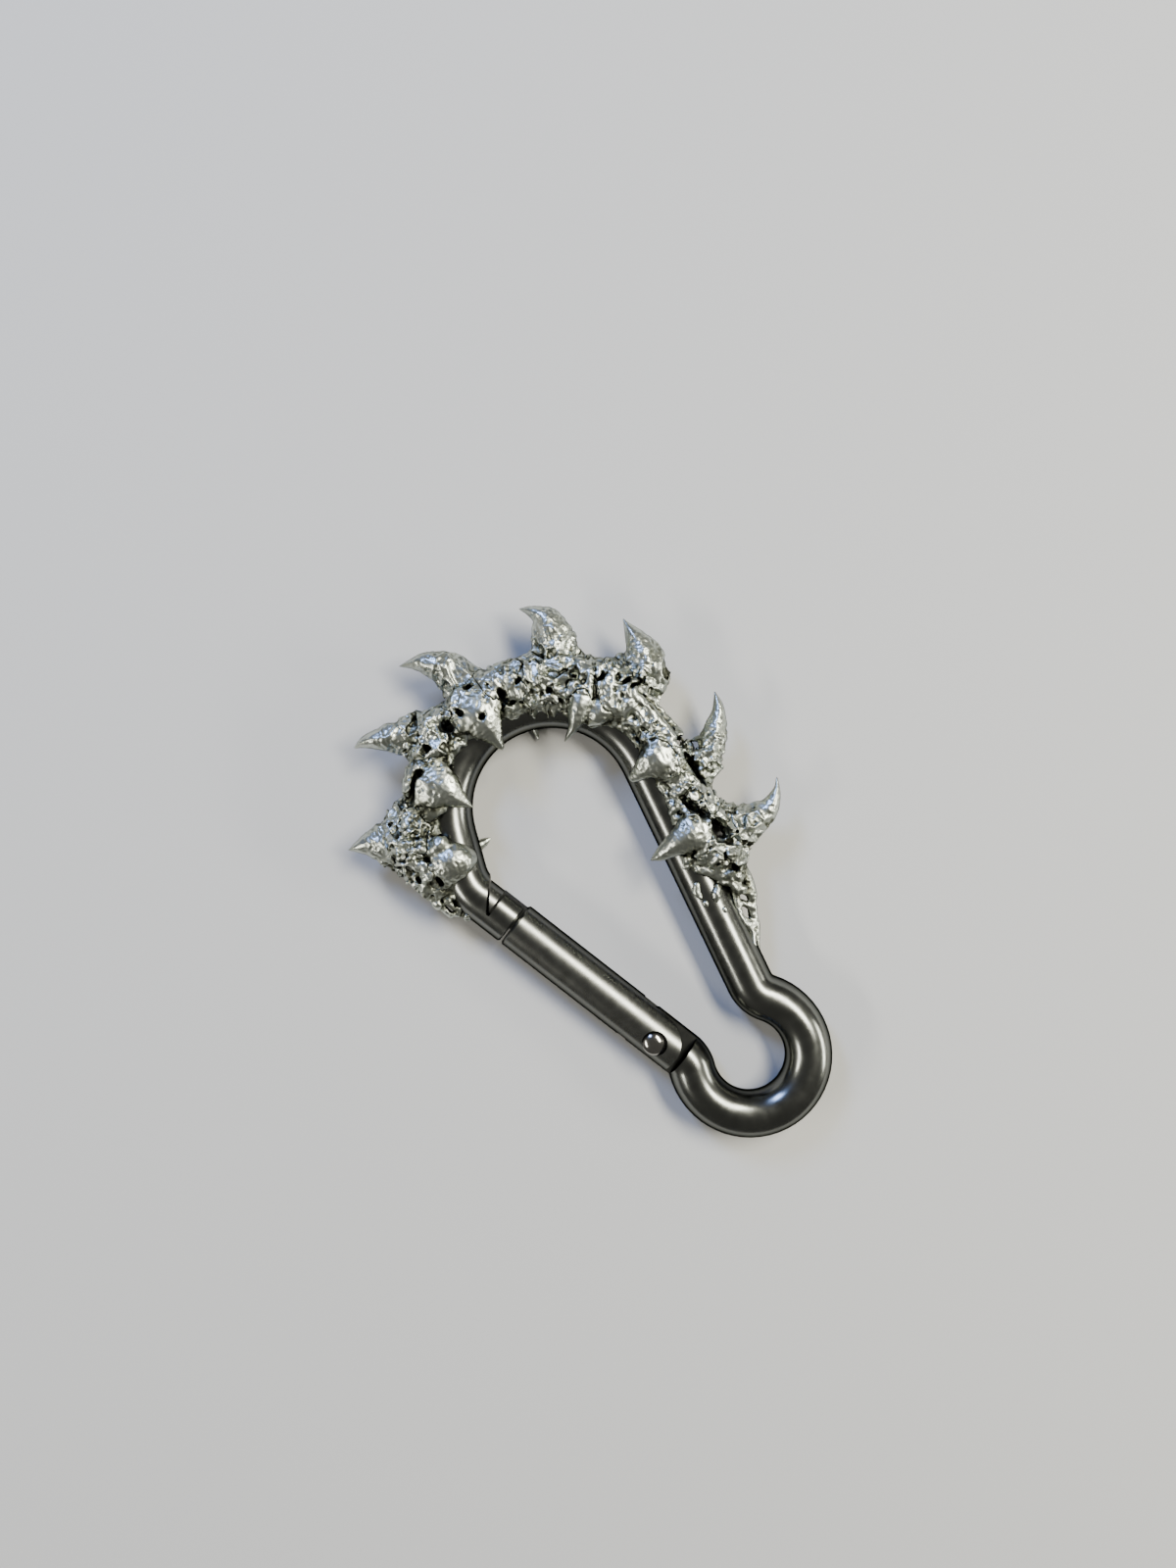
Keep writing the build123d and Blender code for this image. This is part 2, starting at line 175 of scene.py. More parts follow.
def reach(rows, extra):
    """The box round some rows, with room to spare."""
    wide = rows[:, 3:].max() + extra
    return rows[:, :3].min(axis=0) - wide, rows[:, :3].max(axis=0) + wide


# ---- noise -------------------------------------------------------------------------------------

LATTICE = 32  # cells each way before the noise repeats, a power of two
CORNERS = tuple(np.ndindex(2, 2, 2))


def turned(points, size, seed):
    """The points in cells of that size, turned so that no two noises share their grain."""
    rng = np.random.default_rng(seed)
    turn, _ = np.linalg.qr(rng.normal(size=(3, 3)))
    return points @ turn.astype(np.float32) / np.float32(size), rng


def lattice_row(cell):
    """The row of a repeating lattice's table that a cell has."""
    key = cell & (LATTICE - 1)
    return (key[:, 0] * LATTICE + key[:, 1]) * LATTICE + key[:, 2]


def corner_weight(part, corner):
    """How much a cell's corner counts for points at those parts of the way across the cell."""
    weight = np.ones(len(part), np.float32)
    for k in range(3):
        weight *= part[:, k] if corner[k] else 1 - part[:, k]
    return weight


def noise(points, size, seed):
    """Smooth noise from about -1 to 1 whose lumps are about size across."""
    cells, rng = turned(points, size, seed)
    lattice = rng.uniform(-1, 1, LATTICE**3).astype(np.float32)
    whole = np.floor(cells).astype(np.int32)
    part = cells - whole
    part = part * part * (3 - 2 * part)
    total = np.zeros(len(points), np.float32)
    for corner in CORNERS:
        row = lattice_row(whole + np.array(corner, np.int32))
        total += corner_weight(part, corner) * lattice[row]
    return total * 1.4


def beads(points, size, seed):
    """Distances, in cells, to the nearest and the second nearest of scattered bead centres."""
    cells, rng = turned(points, size, seed)
    jitter = rng.uniform(0.15, 0.85, (LATTICE**3, 3)).astype(np.float32)
    whole = np.floor(cells - 0.5).astype(np.int32)
    first = np.full(len(points), FAR, np.float32)
    second = np.full(len(points), FAR, np.float32)
    for corner in CORNERS:
        cell = whole + np.array(corner, np.int32)
        centre = cell + jitter[lattice_row(cell)]
        gap = np.sqrt(((cells - centre) ** 2).sum(axis=1))
        second = np.minimum(second, np.maximum(first, gap))
        first = np.minimum(first, gap)
    return first, second


# ---- the crust's body --------------------------------------------------------------------------

_, (GX, GY, GZ) = window(GRID_LOW, GRID_HIGH)
FLAT_X, FLAT_Y = GX[:, :, 0], GY[:, :, 0]
bow_x, bow_y = FLAT_X - BOW[0], FLAT_Y - BOW[1]
turn_map = np.degrees(np.arctan2(bow_y, bow_x))
turn_map = np.where(turn_map < -90, turn_map + 360, turn_map)  # so that it doesn't jump at the nose
down_map = (FLAT_X - BOW_END[0]) * SPINE_DOWN[0] + (FLAT_Y - BOW_END[1]) * SPINE_DOWN[1]
on_spine = (down_map > 0) & (FLAT_X > 0)
out_map = np.where(
    on_spine,
    (FLAT_X - BOW_END[0]) * SPINE_OUT[0] + (FLAT_Y - BOW_END[1]) * SPINE_OUT[1],
    np.hypot(bow_x, bow_y) - BOW_R,
)
# How far along the rod a point is, in millimetres: below zero on the bow, above zero on the spine.
BOW_MM = math.radians(1) * BOW_R
LEAN_DEG = math.degrees(LEAN)
course_map = np.where(on_spine, down_map, -(turn_map + LEAN_DEG) * BOW_MM)


def course(angle):
    """How far along the rod an angle round the bow is."""
    return -(angle + LEAN_DEG) * BOW_MM


# The crust along the rod: where, its inner and outer edge from the rod's middle, and its top.
CRUST_ROWS = [
    (course(184), 3.0, 5.4, 0.2),
    (course(181), 2.4, 6.2, 1.6),
    (course(176), 2.0, 6.8, 3.4),
    (course(170), 1.6, 7.6, 4.3),
    (course(162), 1.7, 8.4, 4.5),
    (course(152), 2.2, 7.8, 4.6),
    (course(145), 2.0, 6.0, 4.3),
    (course(138), 1.4, 5.3, 4.2),
    (course(130), 1.4, 5.7, 4.6),
    (course(122), 1.2, 6.0, 4.8),
    (course(112), 0.7, 6.3, 4.9),
    (course(104), 0.5, 6.3, 4.8),
    (course(95), 0.7, 5.7, 4.8),
    (course(86), -0.2, 5.9, 5.0),
    (course(78), -0.5, 6.3, 5.0),
    (course(70), -0.4, 6.4, 4.9),
    (course(60), -0.7, 6.5, 5.0),
    (course(50), -1.0, 6.7, 5.1),
    (course(42), -1.3, 6.5, 5.1),
    (course(35), -1.3, 7.0, 5.2),
    (course(27), -1.3, 7.5, 5.2),
    (course(20), -1.0, 7.3, 5.1),
    (course(14), 0.4, 6.8, 4.9),
    (course(5), 0.6, 5.7, 4.8),
    (course(-4), 0.6, 5.7, 4.8),
    (0.0, 0.5, 6.2, 4.8),
    (4.0, 0.5, 5.6, 4.7),
    (7.0, 0.6, 6.2, 4.6),
    (10.0, 0.4, 6.8, 4.7),
    (14.0, -0.3, 6.9, 4.6),
    (16.0, 1.2, 6.6, 4.2),
    (18.0, 2.2, 6.2, 3.6),
    (19.6, 3.4, 5.2, 2.4),
]
CRUST = np.array(sorted(CRUST_ROWS))
BOXY = 2.6  # how square the crust's section is: 2 is an ellipse


def crust_edges(along):
    """The crust's inner edge, outer edge and top, at places along the rod."""
    return [np.interp(along, CRUST[:, 0], CRUST[:, k]) for k in (1, 2, 3)]


inner_edge, outer_edge, top = (edge.astype(np.float32) for edge in crust_edges(course_map))
middle = ((inner_edge + outer_edge) / 2)[:, :, None]
half_width = ((outer_edge - inner_edge) / 2)[:, :, None]
half_height = ((top - TABLE) / 2)[:, :, None]
ratio = np.abs((out_map[:, :, None] - middle) / half_width) ** BOXY
ratio = ratio + np.abs((GZ - TABLE - half_height) / half_height) ** BOXY
crust = ((ratio ** (1 / BOXY) - 1) * half_width).astype(np.float32)
ends = np.maximum(CRUST[0, 0] - course_map, course_map - CRUST[-1, 0]).astype(np.float32)
crust = np.maximum(crust, ends[:, :, None])

STRAND_ROOM = 1.2
SMOOTH = []  # where each strand is, and the distances to it


def add_strand(field, rows, width=0.35):
    """Melts a strand of round or flattened section into a field, and keeps it to be smooth."""
    rows = smooth_rows(rows, 3)
    cut, place = window(*reach(rows, STRAND_ROOM))
    distance = limb(place, rows)[0]
    field[cut] = melt(field[cut], distance, width)
    SMOOTH.append((cut, distance))


def crust_height(along, out):
    """How high the crust's body is there."""
    inner, outer, high = crust_edges(along)
    share = min(abs((out - (inner + outer) / 2) / ((outer - inner) / 2)), 1.0)
    tall = (high - TABLE) / 2
    return TABLE + tall + tall * (1 - share**BOXY) ** (1 / BOXY)


def on_crust(along, out, lift=0.0):
    """A point on the crust's body, or on the rod beside it, at a place along and out."""
    beside = math.sqrt(max(ROD_R**2 - out**2, 0.0))
    z = max(crust_height(along, out), beside) + lift
    if along > 0:
        return spine(along, out, z)
    return bow(-along / BOW_MM - LEAN_DEG, BOW_R + out, z)


def bow_rows(*rows):
    """Rows given as angle, distance from the bow's centre, height, half width, half height."""
    return [[*bow(*row[:3]), *row[3:]] for row in rows]


def spine_rows(*rows):
    """Rows given as down, out, height, half width, half height."""
    return [[*spine(*row[:3]), *row[3:]] for row in rows]


# ---- ridges, drips and strands -----------------------------------------------------------------

# Drips that run down across the bow between its thorns: their angles, then the ranges that the
# upper end, the lower end, the slant and the radius are drawn from, which way they slant, and how
# far they stand out.
DRIPS = (
    (
        (80, 77.6, 75.2, 72.6, 69.8, 67, 64.4),
        (5.4, 6.2), (1.0, 2.4), (-2.0, 0.4), (0.40, 0.50), 1, 0.32,
    ),
    (
        (37, 33.5, 30.2, 27, 23.5, 20.6, 17.4),
        (5.8, 6.8), (0.4, 2.6), (4.0, 7.0), (0.4, 0.55), -1, 0.28,
    ),
)
rng = np.random.default_rng(11)
for angles, *ranges, way, lift in DRIPS:
    for angle in angles:
        top_out, low_out, slant, radius = (rng.uniform(*limits) for limits in ranges)
        line = []
        for t in (0, 0.33, 0.66, 1):
            out = top_out + (low_out - top_out) * t
            point = on_crust(course(angle + way * slant * t), out, lift)
            line.append([*point, radius, radius])
        add_strand(crust, line)
# Long smooth bands that run with the rod below the bow's right side.
for start, end, out, radius in (
    (18, -12, 4.5, 0.75),
    (15, -8, 3.1, 0.6),
    (12, -3, 1.6, 0.5),
    (9, -13, 5.6, 0.45),
    (13, 2, 0.8, 0.35),
):
    line = []
    for t in (0, 0.25, 0.5, 0.75, 1):
        sway = rng.uniform(-0.3, 0.3)
        point = on_crust(course(start + (end - start) * t), out + sway, 0.1)
        line.append([*point, radius, radius])
    add_strand(crust, line)
# A broad smooth band from the inner thorn at the top of the spine, down and outwards.
add_strand(crust, spine_rows(
    (-0.6, 1.4, 3.9, 1.5, 1.2), (2.4, 2.6, 4.0, 1.9, 1.3), (5.0, 4.0, 3.7, 1.7, 1.3),
    (7.0, 5.2, 3.2, 1.1, 1.1),
))
# Threads that slant down the spine to the tail.
for start, end, radius in (
    ((14.6, -0.6, 2.9), (19.8, 3.6, 2.6), 0.55),
    ((13.8, 0.8, 3.9), (20.6, 4.4, 2.0), 0.5),
    ((13.6, 2.4, 4.2), (19.2, 4.6, 2.4), 0.55),
    ((15.6, 0.2, 3.2), (18.4, 2.6, 2.9), 0.6),
):
    start, end = np.array(start), np.array(end)
    line = [start, start * 0.6 + end * 0.4 + np.array((0, 0.3, 0.2)), end]
    add_strand(crust, spine_rows(*[(*place, radius, radius) for place in line]))
# Short strands at random all over, as melted wire leaves them, and then a beaded inner edge.
STRANDS_START, STRANDS_END = course(186), 18.0
STRAND_COUNT = 150
EDGE_BEAD_PITCH = 0.85
for _ in range(STRAND_COUNT):
    along = rng.uniform(STRANDS_START, STRANDS_END)
    inner, outer, _ = crust_edges(along)
    out = rng.uniform(inner, outer)
    heading = rng.uniform(0, math.pi)
    span = rng.uniform(1.2, 3.0)
    radius = rng.uniform(0.28, 0.55)
    bend = rng.uniform(-0.8, 0.8)
    line = []
    for t in (-0.5, 0, 0.5):
        a = along + math.cos(heading) * span * t - math.sin(heading) * bend * (t == 0)
        o = out + math.sin(heading) * span * t + math.cos(heading) * bend * (t == 0)
        o = min(max(o, inner - 0.2), outer)
        line.append([*on_crust(a, o, rng.uniform(0.0, 0.4)), radius, radius])
    add_strand(crust, line)
for along in np.arange(STRANDS_START, STRANDS_END, EDGE_BEAD_PITCH):
    inner = crust_edges(along)[0]
    out = inner + rng.uniform(-0.35, 0.5)
    radius = rng.uniform(0.35, 0.75)
    point = on_crust(along + rng.uniform(-0.3, 0.3), out, -0.15)
    add_strand(crust, [[*point, radius, radius], [*(point + 0.3), radius * 0.8, radius * 0.8]])

# Rows of run-together beads at the crust's lower end by the nose: angle and out along each row.
for row in (
    [(176, 6.2), (182, 6.1), (186, 5.8), (190, 5.0)],
    [(178, 4.7), (184, 4.8), (189, 4.5), (194, 4.7)],
    [(178, 3.4), (183, 3.7), (187, 3.8), (191.5, 3.5)],
    [(174, 2.6), (178, 2.6), (182, 2.7), (184.5, 2.9)],
    [(184, 4.8), (186.5, 5.4), (187.5, 5.6)],
    [(181, 3.4), (184, 4.3), (185.5, 4.8)],
):
    line = []
    for angle, out in row:
        radius = rng.uniform(0.30, 0.40)
        lift = np.interp(angle, (176, 190), (2.9, 0.6))
        line.append([*bow(angle, BOW_R + out, lift), radius, radius])
    add_strand(crust, line)
    for angle, out in row:
        lift = np.interp(angle, (176, 190), (3.0, 0.8))
        point = bow(angle, BOW_R + out, lift)
        radius = rng.uniform(0.45, 0.65)
        add_strand(crust, [[*point, radius, radius], [*(point + 0.2), radius, radius]])

# ---- thorns ------------------------------------------------------------------------------------


# Each thorn: how sharp its ridges are, then its rows from its root to its tip.
THORNS = {
    "outer_thorn_1": (1.6, [bow_rows(
        (153, 17.4, 0.6, 5.4, 3.4), (154.2, 19.8, 0.8, 4.6, 3.0), (153.6, 22.0, 1.1, 3.1, 2.4),
        (152.6, 24.0, 1.5, 1.8, 1.7), (152.9, 26.0, 1.7, 0.75, 0.8), (153.2, 27.4, 1.6, 0.12, 0.12),
    )]),
    "outer_thorn_2": (1.6, [bow_rows(
        (112, 17.6, 0.8, 4.2, 3.4), (114, 20.3, 1.4, 3.1, 2.8), (116.5, 22.2, 2.0, 2.2, 2.1),
        (119.4, 24.1, 2.5, 1.5, 1.6), (121.6, 25.7, 2.4, 0.9, 1.0), (124.5, 27.1, 2.0, 0.12, 0.12),
    )]),
    "outer_thorn_3": (1.7, [bow_rows(
        (86.5, 17.4, 0.8, 3.6, 3.4), (87, 19.8, 1.4, 2.8, 2.9), (87.6, 21.7, 2.0, 2.5, 2.3),
        (89.2, 23.4, 2.5, 2.1, 2.0), (92.4, 25.1, 2.7, 1.4, 1.5), (95.4, 26.3, 2.4, 0.7, 0.8),
        (98.4, 27.3, 2.0, 0.12, 0.12),
    )]),
    "outer_thorn_4": (1.6, [bow_rows(
        (49.6, 17.6, 0.8, 3.8, 3.4), (49.8, 20.0, 1.6, 3.1, 2.9), (50.4, 22.2, 2.4, 2.7, 2.4),
        (51.8, 24.0, 3.0, 2.1, 1.9), (54.2, 25.1, 3.2, 1.3, 1.3), (57.4, 25.9, 3.0, 0.65, 0.7),
        (60.4, 26.4, 2.6, 0.12, 0.12),
    )]),
    "outer_thorn_5": (1.6, [bow_rows(
        (16.8, 18.0, 0.8, 4.3, 3.4), (17.2, 20.2, 1.4, 3.9, 3.0), (18.2, 22.0, 2.0, 3.4, 2.5),
        (20.6, 23.5, 2.5, 2.4, 2.0), (24.4, 24.6, 2.8, 1.5, 1.4), (27.6, 25.5, 2.8, 0.8, 0.8),
        (30.4, 26.5, 2.6, 0.12, 0.12),
    )]),
    "outer_thorn_6": (1.6, [spine_rows(
        (3.2, 4.6, 0.8, 3.8, 3.2), (2.6, 6.8, 1.1, 3.0, 2.8), (1.7, 8.7, 1.6, 2.1, 2.1),
        (0.2, 10.1, 2.0, 1.6, 1.6), (-1.6, 11.4, 2.2, 0.95, 1.0), (-3.0, 12.0, 2.2, 0.55, 0.6),
        (-4.4, 12.3, 2.1, 0.12, 0.12),
    )]),
    "outer_thorn_7": (1.6, [spine_rows(
        (13.0, 5.2, 0.6, 4.0, 2.8), (13.2, 7.4, 0.8, 2.9, 2.6), (13.2, 9.4, 1.2, 2.2, 2.1),
        (12.8, 11.4, 1.7, 1.6, 1.6), (11.8, 13.0, 2.2, 1.0, 1.1), (10.6, 14.1, 2.4, 0.5, 0.6),
        (9.2, 14.8, 2.3, 0.12, 0.12),
    )]),
    "inner_thorn_1": (1.5, [bow_rows(
        (168, 17.8, 2.8, 3.0, 1.8), (169, 15.4, 4.2, 3.0, 1.6), (171, 13.5, 4.4, 2.3, 1.3),
        (173, 12.2, 3.7, 1.1, 0.7),
    ), bow_rows(
        (162, 16.8, 3.2, 1.7, 1.6), (160, 15.2, 4.5, 1.4, 1.2), (157.6, 14.4, 4.9, 0.5, 0.5),
    )]),
    "inner_thorn_2": (1.5, [bow_rows(
        (128.0, 18.0, 4.0, 3.0, 1.4), (129.0, 16.0, 5.0, 3.2, 1.2), (131.4, 13.9, 5.4, 2.5, 1.0),
        (135.6, 11.9, 5.2, 1.3, 0.7), (140.9, 10.1, 4.5, 0.12, 0.12),
    ), bow_rows(
        (141.6, 17.2, 3.4, 1.5, 1.0), (141.6, 15.4, 4.3, 1.4, 0.7), (141.2, 14.0, 4.0, 0.8, 0.5),
    )]),
    "inner_thorn_3": (1.5, [bow_rows(
        (89.4, 18.4, 4.4, 2.6, 1.3), (89.4, 16.0, 5.2, 3.2, 1.1), (89.2, 13.6, 5.4, 2.3, 0.9),
        (89.6, 11.6, 4.9, 1.05, 0.6), (90.4, 10.1, 4.2, 0.25, 0.25),
    )]),
    "inner_thorn_4": (1.8, [bow_rows(
        (35.2, 17.0, 3.8, 1.6, 1.4), (35.6, 14.6, 5.0, 1.4, 1.2), (35.4, 12.4, 5.0, 1.2, 1.0),
        (35.6, 11.2, 4.7, 0.85, 0.75), (37.2, 9.9, 4.3, 0.5, 0.5), (39.6, 8.8, 3.9, 0.15, 0.15),
    ), bow_rows(
        (24.6, 15.6, 3.8, 2.1, 1.5), (24.8, 13.6, 4.6, 1.7, 1.1), (26.6, 12.1, 4.0, 0.4, 0.4),
    )]),
    "inner_thorn_5": (2.2, [spine_rows(
        (0.2, 3.4, 4.0, 2.4, 1.6), (0.3, 1.6, 4.9, 2.5, 1.4), (0.6, -0.3, 4.6, 1.6, 1.1),
        (0.9, -1.5, 4.0, 1.0, 0.9), (1.0, -2.3, 3.7, 0.75, 0.65),
    )]),
    "inner_thorn_6": (1.6, [spine_rows(
        (11.2, 3.6, 3.8, 2.8, 1.7), (10.9, 1.7, 4.9, 2.6, 1.5), (11.1, -0.3, 5.0, 1.8, 1.2),
        (11.4, -2.0, 4.6, 1.3, 0.95), (11.7, -3.5, 4.1, 0.75, 0.6), (11.8, -4.9, 3.7, 0.1, 0.1),
    )]),
    "inner_spur_1": (2.0, [[
        [-13.4, 44.8, -1.6, 0.9, 0.8], [-11.6, 44.4, -2.2, 0.75, 0.6], [-10.2, 44.2, -2.4, 0.5, 0.45],
        [-9.3, 44.1, -2.3, 0.15, 0.15],
    ]]),
    "inner_spur_2": (2.0, [[
        [5.9, 53.9, -1.6, 0.8, 0.7], [5.1, 52.5, -2.2, 0.65, 0.6], [4.6, 51.4, -2.4, 0.4, 0.4],
        [4.2, 50.5, -2.3, 0.12, 0.12],
    ]]),
    "crust_tail": (2.0, [spine_rows(
        (17.4, 5.2, 1.2, 0.8, 0.9), (19.5, 5.6, 1.0, 0.7, 0.8), (22, 5.2, 0.8, 0.65, 0.7),
        (24.2, 4.3, 0.6, 0.6, 0.65), (26.2, 3.8, 0.5, 0.6, 0.6), (28.2, 3.0, 0.3, 0.5, 0.5),
        (29.8, 2.6, 0.3, 0.25, 0.25),
    ), spine_rows(
        (17.2, 3.6, 2.4, 0.8, 0.8), (19.4, 3.6, 1.6, 0.5, 0.6), (22.2, 2.9, 1.6, 0.4, 0.45),
        (24.4, 2.6, 1.6, 0.4, 0.4), (26.2, 3.2, 1.0, 0.45, 0.45), (28.0, 2.6, 1.4, 0.35, 0.35),
    ), spine_rows(
        (19.4, 3.8, 1.6, 0.5, 0.5), (21.0, 4.6, 1.3, 0.45, 0.45), (22.0, 5.2, 1.0, 0.5, 0.5),
    ), spine_rows(
        (21.8, 3.2, 1.5, 0.4, 0.4), (22.8, 4.0, 1.1, 0.4, 0.4), (23.6, 4.6, 0.8, 0.45, 0.45),
    ), spine_rows(
        (24.2, 2.7, 1.5, 0.4, 0.4), (25.2, 3.4, 1.0, 0.4, 0.4), (25.8, 4.0, 0.6, 0.4, 0.4),
    )]),
    "solder_drops": (2.0, [spine_rows(
        (17.3, -0.9, 3.0, 0.45, 0.4), (18.2, -1.3, 2.95, 0.55, 0.45),
        (19.0, -1.2, 2.95, 0.3, 0.3),
    ), spine_rows((20.0, -0.9, 3.1, 0.4, 0.35), (20.3, -1.0, 3.1, 0.3, 0.3)), spine_rows(
        (18.9, 1.4, 3.0, 0.5, 0.45), (19.6, 0.9, 3.15, 0.6, 0.5), (20.3, 0.6, 3.1, 0.35, 0.3),
    ), spine_rows((21.8, 1.0, 3.05, 0.35, 0.3), (22.1, 1.0, 3.05, 0.3, 0.25))]),
}
BLEND = 0.9  # how wide the valley between a thorn and the crust is filled
THORN_ROOM = 2.2
# How rough a limb is at its root, and how much less at its tip, by the first word of its name.
LIMB_ROUGHNESS = {"outer": (1.1, 1.1), "inner": (0.50, 0.40)}
PLAIN_ROUGHNESS = (0.42, 0.1)

total = crust.copy()
# How rough the crust is along the rod: 1 is fully rough.
ROUGH_ROWS = [
    (course(186), 0.5), (course(179), 0.6), (course(173), 1.0), (course(85), 1.0),
    (course(81), 0.62), (course(64), 0.62), (course(60), 1.0), (course(41), 1.0),
    (course(36), 0.66), (course(-10), 0.7), (2.0, 1.0), (15.5, 1.0), (18.5, 0.6),
]
rough_map = np.interp(course_map, *np.array(ROUGH_ROWS).T).astype(np.float32)
roughness = np.repeat(rough_map[:, :, None], total.shape[2], axis=2)
# Distances to the nearest and the second nearest limb.
thorn_best = np.full_like(total, FAR)
thorn_next = np.full_like(total, FAR)
thorn_field = {}
for name, (ridge, limbs) in THORNS.items():
    limbs = [smooth_rows(line, 4) for line in limbs]
    boxes = [reach(line, THORN_ROOM) for line in limbs]
    start, fade = LIMB_ROUGHNESS.get(name.split("_")[0], PLAIN_ROUGHNESS)
    cut, place = window(
        np.min([low for low, high in boxes], axis=0), np.max([high for low, high in boxes], axis=0)
    )
    field, bumpy = None, None
    for line in limbs:
        distance, share = limb(place, line, ridge)
        limb_bumpy = np.clip(start - fade * share, 0.1, 1)
        if field is None:
            field, bumpy = distance, limb_bumpy
        else:
            bumpy = np.where(distance < field, limb_bumpy, bumpy)
            field = melt(field, distance, 0.4)
    thorn_field[name] = (cut, field)
    nearer = np.clip((total[cut] - field) / 1.2 + 0.5, 0, 1)
    roughness[cut] = roughness[cut] * (1 - nearer) + bumpy * nearer
    total[cut] = melt(total[cut], field, BLEND)
    thorn_next[cut] = np.minimum(thorn_next[cut], np.maximum(thorn_best[cut], field))
    thorn_best[cut] = np.minimum(thorn_best[cut], field)

# Strands stay smoother than the crust between them.
STRAND_ROUGHNESS = 0.52
STRAND_SKIRT = 0.45
for cut, distance in SMOOTH:
    share = np.clip((STRAND_SKIRT - distance) / STRAND_SKIRT, 0, 1)
    smoother = np.minimum(roughness[cut], STRAND_ROUGHNESS)
    roughness[cut] = roughness[cut] * (1 - share) + smoother * share

# ---- gaps and pits -----------------------------------------------------------------------------

# Gaps in the crust: angle and distance (or down and out), half length along the rod, half width
# across it, slant in degrees, and the height that it goes down to.
RIGHT_THROUGH = -9.0
GAP_ROOM = 1.2
GAP_RIM = 0.35  # how wide a gap's rim is rounded
BOW_GAPS = [
    (115, 17.6, 0.65, 0.80, 0, RIGHT_THROUGH),
    (103.5, 17.2, 0.85, 0.95, 0, RIGHT_THROUGH),
    (126.5, 17.5, 0.55, 0.50, 0, RIGHT_THROUGH),
    (133.5, 18.0, 1.5, 0.30, 0, RIGHT_THROUGH),
    (88.0, 14.7, 0.50, 0.40, 0, 3.2),
    (85.5, 18.9, 0.50, 0.35, 0, RIGHT_THROUGH),
    (95.0, 17.0, 0.35, 0.50, 0, 2.6),
    (59.5, 19.0, 1.2, 0.50, 22, RIGHT_THROUGH),
    (41.5, 17.4, 0.80, 0.50, -35, RIGHT_THROUGH),
    (75.0, 16.1, 0.30, 0.55, 0, 2.4),
    (71.5, 14.5, 0.55, 0.30, 0, 2.6),
    (17.5, 19.1, 0.30, 0.80, -30, 1.5),
    (20.5, 19.2, 0.22, 0.60, -30, 2.0),
    (30.0, 18.2, 0.25, 0.80, -25, 2.4),
    (-11.0, 19.0, 0.55, 0.55, 0, RIGHT_THROUGH),
    (186.0, 19.0, 0.90, 0.28, 0, RIGHT_THROUGH),
    (186.0, 17.8, 1.0, 0.28, 0, RIGHT_THROUGH),
    (175.0, 17.3, 0.70, 0.35, 0, 1.0),
    (170.0, 19.6, 0.60, 0.35, 0, 1.5),
    (164.0, 17.4, 0.60, 0.30, 20, 2.6),
    (52.0, 15.2, 0.40, 0.30, 0, 2.8),
    (66.0, 16.8, 0.50, 0.30, 40, 2.8),
]
SPINE_GAPS = [
    (12.2, 4.8, 2.0, 1.1, 0, RIGHT_THROUGH),
    (8.0, 3.0, 1.8, 0.60, 24, 2.0),
    (3.3, 5.3, 2.7, 0.32, 6, 0.0),
    (0.8, 7.0, 0.60, 0.45, 0, RIGHT_THROUGH),
    (17.4, 4.6, 0.55, 0.25, 0, 1.0),
    (13.3, 0.6, 0.40, 0.35, 0, 3.2),
]
for on_bow, gaps in ((True, BOW_GAPS), (False, SPINE_GAPS)):
    for where, out, length, across, slant, floor in gaps:
        centre = bow(where, out) if on_bow else spine(where, out)
        if on_bow:
            turn = math.radians(where)
            along = np.array((math.sin(turn), -math.cos(turn)))
            outward = np.array((math.cos(turn), math.sin(turn)))
        else:
            along, outward = SPINE_DOWN[:2], SPINE_OUT[:2]
        tilt = math.radians(slant)
        u = along * math.cos(tilt) + outward * math.sin(tilt)
        v = outward * math.cos(tilt) - along * math.sin(tilt)
        spread = max(length, across) + GAP_ROOM
        cut, (x, y, z) = window(
            (centre[0] - spread, centre[1] - spread, GRID_LOW[2]),
            (centre[0] + spread, centre[1] + spread, GRID_HIGH[2]),
        )
        dx, dy = x - centre[0], y - centre[1]
        hole = np.hypot((dx * u[0] + dy * u[1]) / length, (dx * v[0] + dy * v[1]) / across)
        hole = np.maximum((hole - 1) * min(length, across), floor - z)
        total[cut] = -melt(-total[cut], hole.astype(np.float32), GAP_RIM)

# ---- rough cast surface ------------------------------------------------------------------------

SKIN = 1.5  # how far from the surface the relief is worked out
LEAST_SHARE = 0.05


def walls(near, following, width, rise, sunk):
    """Ridges midway between bead centres; sunk lowers them and the hollows between them alike."""
    return np.exp(-(((following - near) / width) ** 2)) * rise - sunk


band = np.flatnonzero(np.abs(total.ravel()) < SKIN)
index = np.unravel_index(band, total.shape)
points = np.stack([GRID_LOW[k] + STEP * index[k] for k in range(3)], axis=1).astype(np.float32)
rough = roughness.ravel()[band]
warp = np.stack([noise(points, 2.4, seed) for seed in (1, 2, 3)], axis=1) * 0.35
loose = points + warp
lumps = noise(loose, 2.6, 4) * 0.36
